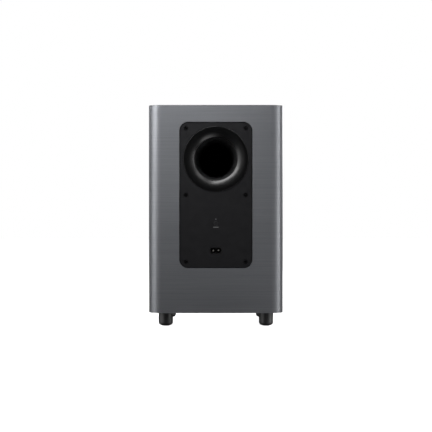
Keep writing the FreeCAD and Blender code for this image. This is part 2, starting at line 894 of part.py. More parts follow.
def make_inductor(name, x):
    drum = on_board_rod(name + "_drum", "inductor_radius", x, "inductor_z", "0", "inductor_length")
    bore = on_board_rod(name + "_bore", "inductor_bore", x, "inductor_z",
                        "inductor_length - inductor_bore_depth", "inductor_length + 1")
    node(name, cut(name + "_cut", drum, [bore]))


def make_wireless():
    """A small card on its header, under a shield."""
    x, z = "wireless_x", "wireless_z"
    node("wireless_board", fuse("wireless", [
        box_on_board("wireless_card", x, z, "wireless_width", "wireless_height", "wireless_thick", "wireless_lift"),
        box_on_board("wireless_header", x, f"{z} - (wireless_height - wireless_header_height)/2 + 0.75",
                     "wireless_header_width", "wireless_header_height", "wireless_lift + 0.1"),
    ]))
    node("wireless_shield", box_on_board("shield", x, f"{z} + 1", "shield_width", "shield_height",
                                         "shield_thick", "wireless_lift + wireless_thick"))


def make_electronics():
    make_board()
    screw_group("board_screws", "XZ_Plane", "board_far", 1, "board_screw_length", board_screw_places())
    make_transformer()
    can = on_board_rod("can", "capacitor_radius", "capacitor_x", "capacitor_z", "0", "capacitor_length")
    node("bulk_capacitor", can)
    choke = primitive("Part::Torus", "choke", ("choke_x", "board_far + choke_wire", "board_low + choke_z"),
                      Radius1="choke_radius", Radius2="choke_wire")
    choke.Placement = Placement(choke.Placement.Base, Rotation(Vector(1, 0, 0), -90))
    node("filter_choke", choke)
    make_heat_sink()
    make_inductor("output_inductor_1", "inductor_1_x")
    make_inductor("output_inductor_2", "inductor_2_x")
    node("speaker_header", box_on_board("header", "header_x", "header_z", "header_width", "header_height",
                                        "header_depth"))
    make_wireless()


def make_cover():
    """A box over the electronics, glued by its flange to the inside of the rear board."""
    far = "cover_far"
    half, tall = "window_width/2 + cover_room", "window_height/2 + cover_room"
    near = "-inner_half_depth"

    def shell(name, grow, start, stop):
        return block(name, (f"-({half} + {grow})", f"{half} + {grow}"), (start, stop),
                     (f"window_middle - ({tall} + {grow})", f"window_middle + {tall} + {grow}"))

    outer = fuse("cover_outer", [
        shell("cover_box", "cover_wall", near, far),
        shell("cover_rim", "cover_wall + cover_flange - cover_room", near, f"{near} + cover_wall"),
    ])
    hollow = shell("cover_hollow", "0", f"{near} - 1", f"{far} - cover_wall")
    slot = block("cover_slot", ("wire_exit - wire_pitch/2 - 2", "wire_exit + wire_pitch/2 + 2"),
                 ("wire_plane - 2", "wire_plane + 2"),
                 (f"window_middle - ({tall}) - cover_wall - 1", f"window_middle - ({tall}) + 1"))
    node("electronics_cover", cut("cover_cut", outer, [hollow, slot]))


# ---------------------------------------------------------------- bass driver, firing down

def make_basket():
    """A pressed steel frame with six windows, a ledge for the spider and a seat for the magnet."""
    body = turned("driver_basket", [
        ("frame_inner", "flange_front"),
        ("flange_radius", "flange_front"),
        ("flange_radius", "flange_back"),
        ("frame_inner + 1.6", "flange_back"),
        ("ledge_outer + 1.4", "ledge + flange_thick"),
        ("ledge_inner + flange_thick", "ledge + flange_thick"),
        ("ledge_inner + flange_thick", "basket_top"),
        ("gap_outer + 3", "basket_top"),
        ("gap_outer + 3", "seat"),
        ("ledge_inner", "seat"),
        ("ledge_inner", "ledge"),
        ("ledge_outer", "ledge"),
        ("frame_inner", "flange_back"),
    ])
    sketch = new_sketch(body, "XZ_Plane", ("0", "0", "0"))
    low, high = "flange_back + 6", "ledge - 5"
    draw_outline(sketch, [
        ("ledge_inner", low),
        ("frame_inner + 4", low),
        ("frame_inner + 4", high),
        ("ledge_inner", high),
    ])
    before = body.Shape.Volume
    groove = body.newObject("PartDesign::Groove", "basket_window")
    groove.Profile = sketch
    groove.ReferenceAxis = (sketch, ["V_Axis"])
    groove.setExpression("Angle", bound("basket_window_angle"))
    document.recompute()
    pattern = body.newObject("PartDesign::PolarPattern", "basket_windows")
    pattern.Originals = [groove]
    pattern.Axis = (plane(body, "Z_Axis"), [""])
    pattern.Angle = 360
    pattern.setExpression("Occurrences", bound("basket_window_count"))
    body.Tip = pattern
    document.recompute()
    if body.Shape.Volume > before - 1000:
        raise RuntimeError("the basket's windows are not cut")
    holes = [(x, y, "shank_radius + pilot_room") for x, y in driver_screw_places()]
    pocket(body, "XY_Plane", "flange_front", "flange_back", *holes)


def cone_face(radius, lift="0"):
    """Height of the cone's front surface at a radius."""
    start, rise = "cone_face_start", "neck_height - flange_front - cone_wall"
    return f"flange_front + ({start} - ({radius}))*({rise})/({start} - neck_inner) + {lift}"


def make_cone():
    turned("driver_cone", [
        ("cone_outer", "flange_front"),
        ("cone_outer", "flange_front + cone_wall"),
        ("cone_face_start + cone_wall*1.1", "flange_front + cone_wall"),
        ("neck_inner + cone_wall", "neck_height"),
        ("neck_inner + cone_wall", "neck_height + 2.5"),
        ("neck_inner", "neck_height + 2.5"),
        ("neck_inner", "neck_height - cone_wall"),
        ("cone_face_start", "flange_front"),
    ])
    edge = "dust_cap_radius"
    peak = f"{cone_face(edge)} - dust_cap_rise"
    dome = bend_radius(edge, "dust_cap_rise")
    inner_edge = f"{edge} - 0.7"
    inner_dome = bend_radius(inner_edge, f"{cone_face(inner_edge)} - ({peak}) - 0.7")
    turned("dust_cap", [
        ("0", peak, ("left", dome)),
        (edge, cone_face(edge)),
        (inner_edge, cone_face(inner_edge), ("right", inner_dome)),
        ("0", f"{peak} + 0.7"),
    ])
    turned("voice_coil_former", [
        ("former_radius", "neck_height - cone_wall"),
        ("former_outer", "neck_height - cone_wall"),
        ("former_outer", "former_top"),
        ("former_radius", "former_top"),
    ])
    turned("voice_coil", [
        ("former_outer + glue", "coil_middle - coil_length/2"),
        ("coil_outer", "coil_middle - coil_length/2"),
        ("coil_outer", "coil_middle + coil_length/2"),
        ("former_outer + glue", "coil_middle + coil_length/2"),
    ])


def make_surround():
    """A rubber half roll that bulges outwards, glued under the frame and under the cone's rim."""
    outer_roll = "roll_inner + lip_thick"
    turned("driver_surround", [
        ("roll_outer_edge + lip_width", "lip_front"),
        ("roll_outer_edge + lip_width", "flange_front"),
        ("roll_outer_edge", "flange_front"),
        ("roll_outer_edge", "lip_front", ("right", "roll_inner")),
        ("roll_middle", "lip_front - roll_inner", ("right", "roll_inner")),
        ("roll_inner_edge", "lip_front"),
        ("roll_inner_edge", "flange_front"),
        ("cone_face_start", "flange_front"),
        ("cone_face_start", "lip_front"),
        ("roll_inner_edge - lip_thick", "lip_front", ("left", outer_roll)),
        ("roll_middle", f"lip_front - ({outer_roll})", ("left", outer_roll)),
        ("roll_outer_edge + lip_thick", "lip_front"),
    ])
    turned("surround_trim_ring", [
        ("roll_outer_edge + lip_thick + 0.3", "lip_front - trim_thick"),
        ("roll_outer_edge + lip_width", "lip_front - trim_thick"),
        ("roll_outer_edge + lip_width", "lip_front"),
        ("roll_outer_edge + lip_thick + 0.3", "lip_front"),
    ])


def make_spider():
    """The corrugated cloth disc that centres the voice coil. It is glued under the frame's ledge."""
    waves = SIZES["spider_waves"]
    start = "former_outer + 2.5"
    pitch = f"((ledge_inner - ({start}))/{waves})"
    middle = "ledge - spider_thick/2"
    centres = [("neck_inner", middle)]
    for number in range(waves + 1):
        lift = "spider_wave" if number % 2 else "0"
        centres.append((f"{start} + {number}*{pitch}", f"{middle} - {lift}"))
    centres.append(("ledge_outer - 0.3", middle))
    upper = [(radius, f"{height} + spider_thick/2") for radius, height in centres]
    lower = [(radius, f"{height} - spider_thick/2") for radius, height in centres]
    turned("spider", lower + upper[::-1])


def make_motor():
    turned("magnet_top_plate", [
        ("gap_outer", "basket_top"),
        ("top_plate_radius", "basket_top"),
        ("top_plate_radius", "top_plate_top"),
        ("gap_outer", "top_plate_top"),
    ])
    turned("magnet_ring", [
        ("magnet_bore", "top_plate_top"),
        ("magnet_radius", "top_plate_top"),
        ("magnet_radius", "magnet_top"),
        ("magnet_bore", "magnet_top"),
    ])
    turned("magnet_yoke", [
        ("vent_radius", "basket_top"),
        ("pole_radius", "basket_top"),
        ("pole_radius", "magnet_top"),
        ("yoke_radius", "magnet_top"),
        ("yoke_radius", "yoke_top"),
        ("vent_radius", "yoke_top"),
    ])


def make_terminals():
    """A fibre strip that stands on the frame's ledge, with two tabs for the speaker lead."""
    base, x = "ledge + flange_thick", "ledge_inner + flange_thick + 0.4"
    strip = block("strip", (x, f"{x} + strip_thick"), ("-strip_width/2", "strip_width/2"),
                  (base, f"{base} + strip_height"))
    tabs = [block(f"tab_{side}", (f"{x} + strip_thick - 0.1", f"{x} + strip_thick + tab_reach"),
                  (f"{side}*tab_pitch/2 - tab_width/2", f"{side}*tab_pitch/2 + tab_width/2"),
                  (f"{base} + tab_lift", f"{base} + tab_lift + tab_thick")) for side in ("-1", "1")]
    joined = fuse("terminals", [strip, *tabs])
    joined.Placement = Placement(Vector(), Rotation(Vector(0, 0, 1), value("terminal_angle")))
    joined.setExpression("Placement.Rotation.Angle", bound("terminal_angle"))
    node("driver_terminals", joined)


def rounded_path(points):
    """Straight runs joined by tangent arcs, each as large as its two runs allow."""
    edges, last = [], points[0]
    for before, corner, after in zip(points, points[1:], points[2:]):
        back, ahead = before - corner, after - corner
        reach = 0.45 * min(back.Length, ahead.Length)
        back.normalize()
        ahead.normalize()
        start, stop = corner + back * reach, corner + ahead * reach
        half_turn = (math.pi - back.getAngle(ahead)) / 2
        radius = reach / math.tan(half_turn)
        inward = (back + ahead).normalize()
        centre = corner + inward * (reach / math.sin(half_turn))
        middle = centre - inward * radius
        print(f"lead bend radius {radius:.1f}")
        edges.append(Part.LineSegment(last, start).toShape())
        edges.append(Part.Arc(start, middle, stop).toShape())
        last = stop
    edges.append(Part.LineSegment(last, points[-1]).toShape())
    return Part.Wire(edges)


def make_speaker_lead():
    """Two wires from the header on the main board, out through the cover's slot, to the driver's tabs."""
    far, low = value("board_far"), value("board_low")
    out, plane_y = value("wire_exit"), value("wire_plane")
    tab_height = value("ledge + flange_thick + tab_lift + tab_thick")
    tab_radius = value("ledge_inner + flange_thick + tab_reach - 0.4")
    header_x, header_z = value("header_x"), low + value("header_z")
    header_face = far + value("header_depth")
    cover_floor = value("window_middle - window_height/2 - cover_room")
    angle = math.radians(value("terminal_angle"))
    pitch = value("tab_pitch")
    wires = []
    for side in (-1, 1):
        shift = side * value("wire_pitch") / 2
        tab = Vector(tab_radius * math.cos(angle) - side * pitch / 2 * math.sin(angle),
                     tab_radius * math.sin(angle) + side * pitch / 2 * math.cos(angle), tab_height)
        points = [
            Vector(header_x + shift * 0.8, header_face, header_z),
            Vector(header_x + shift * 0.8, plane_y - 1, header_z),
            Vector(out + shift, plane_y, header_z - 18),
            Vector(out + shift, plane_y, cover_floor - 8),
            Vector((out + shift + tab.x) / 2, (plane_y + tab.y) / 2 - 1, tab.z + 24),
            tab + Vector(0, 0, 12),
            tab,
        ]
        path = rounded_path(points)
        start = points[1] - points[0]
        circle = Part.Wire(Part.Circle(points[0], start, value("wire_radius")).toShape())
        wire = path.makePipeShell([circle], True, False)
        expected = math.pi * value("wire_radius") ** 2 * path.Length
        if abs(wire.Volume / expected - 1) > 0.02:
            raise RuntimeError("a wire of the speaker lead is not its section times its length")
        wires.append(wire)
    lead = document.addObject("Part::Feature", "lead")
    lead.Shape = Part.makeCompound(wires)
    node("speaker_lead", lead)


def make_driver():
    make_basket()
    make_cone()
    make_surround()
    make_spider()
    make_motor()
    body = new_body("driver_gasket")
    holes = [(x, y, "shank_radius + port_fit") for x, y in driver_screw_places()]
    ring = [("0", "0", "flange_radius"), ("0", "0", "cutout_radius + 1"), *holes]
    pad(body, "XY_Plane", "flange_back", "recess_ceiling", *ring)
    screw_group("driver_screws", "XY_Plane", "flange_front", -1, "driver_screw_length", driver_screw_places())
    make_terminals()


# ---------------------------------------------------------------- feet

def make_foot(name, x, y):
    """A slightly tapered plastic foot, hollow for its screw, with a rubber pad let into its tip."""
    round_start = "foot_tip_radius - foot_round"
    turned(name, [
        (round_start, "pad_proud", ("left", "foot_round")),
        ("foot_tip_radius", "pad_proud + foot_round"),
        ("foot_radius", "foot_height"),
        ("shank_radius + port_fit", "foot_height"),
        ("shank_radius + port_fit", "foot_seat"),
        ("head_radius + 0.5", "foot_seat"),
        ("head_radius + 0.5", "pad_thick"),
        ("pad_radius", "pad_thick"),
        ("pad_radius", "pad_proud"),
    ], "Z", x, y)


def make_feet():
    names = {"-": {"-": "rear_left", "": "front_left"}, "": {"-": "rear_right", "": "front_right"}}
    for side in ("-", ""):
        for end in ("-", ""):
            corner = names[side][end]
            x, y = side + "foot_across", end + "foot_along"
            make_foot("foot_" + corner, x, y)
            turned("pad_" + corner, [
                ("0", "0"),
                ("pad_radius - 0.6", "0", ("left", "0.6")),
                ("pad_radius - 0.05", "0.55"),
                ("pad_radius - 0.05", "pad_thick"),
                ("0", "pad_thick"),
            ], "Z", x, y)
    screw_group("foot_screws", "XY_Plane", "foot_seat", -1, "foot_screw_length", foot_places())


# ---------------------------------------------------------------- whole model

def check_document():
    for thing in document.Objects:
        if "Invalid" in thing.State or "Error" in thing.State:
            raise RuntimeError(f"{thing.Label} failed: {thing.State}")
    for name, thing in nodes.items():
        if thing.Shape.isNull() or not thing.Shape.isValid() or not thing.Shape.Solids:
            raise RuntimeError(f"{name} has no valid solid")


def main():
    fill_sheet()
    make_cabinet()
    make_wrap()
    make_laminate()
    make_wadding()
    make_plate()
    make_gasket()
    screw_group("plate_screws", "XZ_Plane", "plate_face + screw_recess_depth", -1, "plate_screw_length",
                plate_screw_places())
    make_port()
    make_light_and_button()
    make_inlet()
    make_electronics()
    make_cover()
    make_driver()
    make_speaker_lead()
    make_feet()
    document.recompute()
    check_document()
    os.makedirs("parts", exist_ok=True)
    for name, thing in nodes.items():
        thing.Shape.exportStep(f"parts/{name}.step")
    print(f"{len(nodes)} nodes")


main()
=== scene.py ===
import math

import bmesh
import bpy
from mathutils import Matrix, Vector, noise


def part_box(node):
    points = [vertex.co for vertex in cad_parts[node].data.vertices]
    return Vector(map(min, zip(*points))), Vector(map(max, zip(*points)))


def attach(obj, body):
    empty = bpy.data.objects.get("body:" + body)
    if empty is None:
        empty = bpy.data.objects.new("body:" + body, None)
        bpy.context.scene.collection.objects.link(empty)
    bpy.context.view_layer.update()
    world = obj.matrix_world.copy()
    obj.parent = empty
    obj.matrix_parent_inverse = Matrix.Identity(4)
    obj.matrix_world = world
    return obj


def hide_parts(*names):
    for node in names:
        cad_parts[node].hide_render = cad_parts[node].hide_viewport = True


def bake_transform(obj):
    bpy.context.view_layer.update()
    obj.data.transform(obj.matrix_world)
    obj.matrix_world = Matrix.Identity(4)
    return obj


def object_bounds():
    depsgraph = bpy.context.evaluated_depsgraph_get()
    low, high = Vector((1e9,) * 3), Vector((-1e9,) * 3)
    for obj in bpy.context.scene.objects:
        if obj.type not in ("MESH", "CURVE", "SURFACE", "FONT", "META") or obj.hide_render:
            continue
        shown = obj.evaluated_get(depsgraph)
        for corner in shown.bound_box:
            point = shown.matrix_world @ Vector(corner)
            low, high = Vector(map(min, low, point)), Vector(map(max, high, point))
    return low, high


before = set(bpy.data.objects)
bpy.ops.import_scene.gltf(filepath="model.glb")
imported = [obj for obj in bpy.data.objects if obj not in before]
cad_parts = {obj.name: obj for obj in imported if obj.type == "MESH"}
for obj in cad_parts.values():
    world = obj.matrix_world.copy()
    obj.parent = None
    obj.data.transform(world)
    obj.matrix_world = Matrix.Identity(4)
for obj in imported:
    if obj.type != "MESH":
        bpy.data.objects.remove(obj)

CAD_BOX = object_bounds()
MM = 0.001
BLACK_PAINT = (0.01, 0.01, 0.01)
BARE_BOARD = (0.42, 0.29, 0.17)
WAVE_STRETCH = 20    # the wave texture multiplies its place by this


# ---------------------------------------------------------------- small helpers

def lowest(node):
    """The node's lowest corner at rest, in metres."""
    return Vector(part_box(node)[0])


def highest(node):
    """The node's highest corner at rest."""
    return Vector(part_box(node)[1])


def middle(node):
    return (lowest(node) + highest(node)) / 2


def shade(colour, share, lift=0.0):
    """The colour times a share, and lifted a little."""
    return tuple(share * part + lift for part in colour)


class Surface:
    """A material whose nodes are added one after another. Texture places are in the CAD frame, in metres."""

    def __init__(self, name, colour, roughness, **sockets):
        self.material = bpy.data.materials.new(name)
        self.material.use_nodes = True
        self.tree = self.material.node_tree
        self.shader = self.tree.nodes["Principled BSDF"]
        self.shader.inputs["Base Color"].default_value = (*colour, 1)
        self.shader.inputs["Roughness"].default_value = roughness
        for socket, value in sockets.items():
            self.shader.inputs[socket.replace("_", " ")].default_value = value
        self.colour = colour
        self.place = self.add("ShaderNodeTexCoord").outputs["Object"]
        self.last_bump = None

    def add(self, kind, **settings):
        node = self.tree.nodes.new(kind)
        for key, value in settings.items():
            setattr(node, key, value)
        return node

    def join(self, output, target):
        self.tree.links.new(output, target)

    def stretched(self, scale):
        """The place, scaled by a number for each axis."""
        mapping = self.add("ShaderNodeMapping")
        mapping.inputs["Scale"].default_value = scale
        self.join(self.place, mapping.inputs["Vector"])
        return mapping.outputs["Vector"]

    def grain(self, scale, detail=4.0, roughness=0.55, distortion=0.0):
        """Noise between 0 and 1. The scale is in features per metre, for each axis."""
        texture = self.add("ShaderNodeTexNoise")
        texture.inputs["Scale"].default_value = 1
        texture.inputs["Detail"].default_value = detail
        texture.inputs["Roughness"].default_value = roughness
        texture.inputs["Distortion"].default_value = distortion
        self.join(self.stretched(scale), texture.inputs["Vector"])
        return texture.outputs["Fac"]

    def cells(self, scale, feature="F1"):
        """Distance in a field of cells. The scale is in cells per metre, for each axis."""
        texture = self.add("ShaderNodeTexVoronoi", feature=feature)
        texture.inputs["Scale"].default_value = 1
        self.join(self.stretched(scale), texture.inputs["Vector"])
        return texture.outputs["Distance"]

    def bands(self, axis, pitch_mm, distortion):
        """Waves between 0 and 1 along an axis, with this distance from crest to crest."""
        texture = self.add("ShaderNodeTexWave", wave_type="BANDS", bands_direction=axis)
        texture.inputs["Scale"].default_value = 2 * math.pi / (WAVE_STRETCH * pitch_mm * MM)
        texture.inputs["Distortion"].default_value = distortion
        self.join(self.place, texture.inputs["Vector"])
        return texture.outputs["Fac"]

    def ranged(self, value, low, high, source=(0.3, 0.7)):
        """The value, stretched from the source range to low and high."""
        node = self.add("ShaderNodeMapRange")
        node.inputs["From Min"].default_value, node.inputs["From Max"].default_value = source
        node.inputs["To Min"].default_value, node.inputs["To Max"].default_value = low, high
        self.join(value, node.inputs["Value"])
        return node.outputs["Result"]

    def blend(self, factor, other, share=1.0):
        """The base colour turns towards another colour where the factor is high."""
        mix = self.add("ShaderNodeMix", data_type="RGBA")
        socket = self.shader.inputs["Base Color"]
        if socket.is_linked:
            self.join(socket.links[0].from_socket, mix.inputs["A"])
        else:
            mix.inputs["A"].default_value = (*self.colour, 1)
        mix.inputs["B"].default_value = (*other, 1)
        self.join(self.ranged(factor, 0, share, (0, 1)), mix.inputs["Factor"])
        self.join(mix.outputs["Result"], socket)

    def rough(self, value, low, high, source=(0.3, 0.7)):
        """The roughness follows the value."""
        self.join(self.ranged(value, low, high, source), self.shader.inputs["Roughness"])

    def bump(self, value, depth_mm, strength=1.0):
        """A fine relief on top of the reliefs added before."""
        node = self.add("ShaderNodeBump")
        node.inputs["Strength"].default_value = strength
        node.inputs["Distance"].default_value = depth_mm * MM
        self.join(value, node.inputs["Height"])
        if self.last_bump:
            self.join(self.last_bump, node.inputs["Normal"])
        self.last_bump = node.outputs["Normal"]
        self.join(self.last_bump, self.shader.inputs["Normal"])


def dress(surface, *nodes):
    """The CAD nodes take this material in every slot."""
    for name in nodes:
        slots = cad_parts[name].data.materials
        for index in range(len(slots)):
            slots[index] = surface.material


def mesh_piece(name, vertices, faces, surface, body="cabinet", smooth=True):
    """A mesh object in the CAD frame that rides on a body, unless the body is None."""
    mesh = bpy.data.meshes.new(name)
    mesh.from_pydata(vertices, [], faces)
    mesh.validate()
    for polygon in mesh.polygons:
        polygon.use_smooth = smooth
    mesh.materials.append(surface.material)
    piece = bpy.data.objects.new(name, mesh)
    bpy.context.scene.collection.objects.link(piece)
    if body:
        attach(piece, body)
    return piece


def close_ends(mesh):
    """A tube's open ends are filled, so that the mesh is closed."""
    tube = bmesh.new()
    tube.from_mesh(mesh)
    bmesh.ops.holes_fill(tube, edges=[edge for edge in tube.edges if edge.is_boundary])
    tube.to_mesh(mesh)
    tube.free()


# ---------------------------------------------------------------- materials

def brushed_film():
    """Anthracite film with a fine horizontal brushed grain, all round the cabinet."""
    film = Surface("brushed_film", (0.1, 0.1035, 0.112), 0.4, Metallic=0.55, Anisotropic=0.65)
    film.shader.inputs["Anisotropic Rotation"].default_value = 0.25
    tangent = film.add("ShaderNodeTangent", direction_type="RADIAL", axis="Z")
    film.join(tangent.outputs["Tangent"], film.shader.inputs["Tangent"])
    fine = film.grain((14, 14, 5200), 3, 0.6)
    long = film.grain((3.5, 3.5, 1400), 2, 0.5)
    broad = film.grain((2, 2, 9), 2, 0.5)
    film.blend(film.ranged(fine, 0, 1), (0.15, 0.155, 0.166), 0.6)
    film.blend(film.ranged(long, 0, 1, (0.45, 0.75)), (0.07, 0.0725, 0.078), 0.3)
    film.rough(broad, 0.37, 0.43)
    film.bump(fine, 0.012, 0.5)
    film.bump(long, 0.015, 0.25)
    return film


def matt_film():
    """The top's dark film, with a fine even emboss."""
    film = Surface("top_film", (0.03, 0.031, 0.0325), 0.46)
    emboss = film.cells((2600, 2600, 2600))
    fine = film.grain((1700, 1700, 1700), 3, 0.55)
    film.blend(film.ranged(fine, 0, 1), (0.036, 0.037, 0.039), 0.6)
    film.rough(fine, 0.43, 0.49)
    film.bump(emboss, 0.012, 0.6)
    return film


def textured_plastic(name, colour, roughness, cell=2600, depth=0.03, **sockets):
    """Moulded plastic with the fine pitted texture of a spark-eroded tool."""
    plastic = Surface(name, colour, roughness, **sockets)
    pits = plastic.cells((cell, cell, cell))
    cloud = plastic.grain((90, 90, 90), 3, 0.5)
    plastic.blend(plastic.ranged(cloud, 0, 1), shade(colour, 1.35), 0.5)
    plastic.rough(cloud, roughness - 0.04, roughness + 0.05)
    plastic.bump(pits, depth, 0.6)
    return plastic


def polished_plastic(name, colour, roughness, **sockets):
    """Smooth moulded plastic, with a very slight waviness and a little dust."""
    plastic = Surface(name, colour, roughness, **sockets)
    wave = plastic.grain((160, 160, 160), 1, 0.4)
    dust = plastic.grain((5200, 5200, 5200), 2, 0.6)
    plastic.blend(plastic.ranged(dust, 0, 1, (0.68, 0.82)), (0.05, 0.05, 0.05), 0.5)
    plastic.rough(dust, roughness, roughness + 0.12, (0.6, 0.85))
    plastic.bump(wave, 0.02, 0.2)
    return plastic


def plain_metal(name, colour, roughness, scratch=(400, 400, 400)):
    """Metal with marks whose number per metre is given for each axis."""
    metal = Surface(name, colour, roughness, Metallic=1.0)
    marks = metal.grain(scratch, 4, 0.6)
    metal.blend(metal.ranged(marks, 0, 1), shade(colour, 0.7), 0.5)
    metal.rough(marks, roughness - 0.08, roughness + 0.1)
    metal.bump(marks, 0.01, 0.3)
    return metal


def fibreboard(name, colour, painted=False):
    """Fibreboard, whose short fibres lie flat in every direction. Paint hides all but their relief."""
    board = Surface(name, colour, 0.62 if painted else 0.85)
    fibres = board.grain((900, 900, 2200), 5, 0.7, 0.6)
    specks = board.cells((700, 700, 700))
    board.blend(board.ranged(fibres, 0, 1), shade(colour, 0.6), 0.6)
    if not painted:
        board.blend(board.ranged(specks, 0, 1, (0.0, 0.35)), shade(colour, 0.45), 0.25)
    board.bump(fibres, 0.05, 0.5)
    return board


def sprayed(board, axis, level):
    """The board is sprayed black wherever its place along an axis is below this level."""
    split = board.add("ShaderNodeSeparateXYZ")
    board.join(board.place, split.inputs["Vector"])
    board.blend(board.ranged(split.outputs[axis], 1, 0, (level, level + 1 * MM)), BLACK_PAINT)
    return board


def wall_board(name):
    """Bare fibreboard whose lower edge is sprayed with the underside."""
    return sprayed(fibreboard(name, BARE_BOARD), "Z", lowest("rear_panel").z + 1 * MM)


def rubber(name, colour, roughness):
    """Matt rubber with a slight bloom."""
    skin = Surface(name, colour, roughness)
    fine = skin.grain((3200, 3200, 3200), 3, 0.6)
    bloom = skin.grain((110, 110, 110), 3, 0.5)
    skin.blend(skin.ranged(bloom, 0, 1), shade(colour, 1.6, 0.004), 0.5)
    skin.rough(bloom, roughness - 0.06, roughness + 0.07)
    skin.bump(fine, 0.02, 0.5)
    return skin


def foam():
    """Black sealing foam with open pores, with painted shade darkening each pore's pit."""
    sponge = Surface("foam", (0.02, 0.02, 0.02), 0.9)
    pores = sponge.cells((1500, 1500, 1500))
    # painted shade: the colour is darker towards each cell's middle, where the bump below sinks into a pit
    sponge.blend(sponge.ranged(pores, 0, 1, (0, 0.6)), (0.05, 0.05, 0.05), 0.8)
    sponge.bump(pores, 0.15, 0.8)
    return sponge


def paper_pulp():
    """Pressed paper pulp, with short fibres and darker clumps."""
    pulp = Surface("cone_pulp", (0.028, 0.027, 0.026), 0.78)
    fibres = pulp.grain((1400, 1400, 1400), 5, 0.75, 1.5)
    clumps = pulp.grain((220, 220, 220), 3, 0.6)
    pulp.blend(pulp.ranged(fibres, 0, 1), (0.06, 0.058, 0.055), 0.6)
    pulp.blend(pulp.ranged(clumps, 0, 1, (0.4, 0.8)), (0.012, 0.012, 0.012), 0.5)
    pulp.bump(fibres, 0.08, 0.6)
    pulp.bump(clumps, 0.15, 0.3)
    return pulp


def woven(name, colour, pitch_mm):
    """A plain weave, from two crossed waves."""
    cloth = Surface(name, colour, 0.85)
    for axis in "XY":
        threads = cloth.bands(axis, pitch_mm, 0.6)
        cloth.blend(threads, shade(colour, 0.65), 0.5)
        cloth.bump(threads, 0.12, 0.6)
    return cloth


def wadding_fibre():
    """Dark polyester fluff."""
    fluff = Surface("wadding_fibre", (0.05, 0.05, 0.052), 0.95)
    strands = fluff.grain((700, 700, 700), 6, 0.8, 3.0)
    fluff.blend(fluff.ranged(strands, 0, 1), (0.11, 0.11, 0.11), 0.7)
    fluff.bump(strands, 0.8, 0.9)
    return fluff


def circuit_board():
    """Green solder mask with copper tracks just showing through."""
    board = Surface("solder_mask", (0.012, 0.09, 0.035), 0.35)
    tracks = board.cells((240, 240, 240), "DISTANCE_TO_EDGE")
    board.blend(board.ranged(tracks, 1, 0, (0.02, 0.06)), (0.03, 0.2, 0.08), 0.8)
    board.bump(tracks, 0.03, 0.3)
    return board


def ceramic(name, colour):
    """Sintered ferrite, speckled and matt."""
    stone = Surface(name, colour, 0.55)
    speck = stone.grain((1600, 1600, 1600), 4, 0.7)
    stone.blend(stone.ranged(speck, 0, 1), shade(colour, 1.7), 0.6)
    stone.rough(speck, 0.45, 0.65)
    stone.bump(speck, 0.03, 0.5)
    return stone


def wound(name, colour, pitch_mm, axis="Z", metallic=0.0, roughness=0.35):
    """Tape or wire laid turn beside turn."""
    coil = Surface(name, colour, roughness, Metallic=metallic)
    turns = coil.bands(axis, pitch_mm, 0.3)
    coil.blend(turns, shade(colour, 0.45), 0.7)
    coil.bump(turns, 0.1, 0.7)
    return coil


def clear_acrylic():
    """The light pipe, which looks smoky while its light is off."""
    pipe = Surface("clear_acrylic", (0.12, 0.122, 0.126), 0.12, IOR=1.49)
    pipe.shader.inputs["Transmission Weight"].default_value = 0.25
    cloud = pipe.grain((900, 900, 900), 2, 0.5)
    pipe.blend(pipe.ranged(cloud, 0, 1), (0.16, 0.163, 0.168), 0.6)
    return pipe


def paper_fibre():
    """The hard red-brown board of the terminal strip."""
    fibre = Surface("vulcanised_fibre", (0.16, 0.07, 0.03), 0.6)
    strands = fibre.grain((900, 900, 3000), 4, 0.6)
    fibre.blend(fibre.ranged(strands, 0, 1), (0.08, 0.035, 0.015), 0.6)
    fibre.bump(strands, 0.03, 0.5)
    return fibre


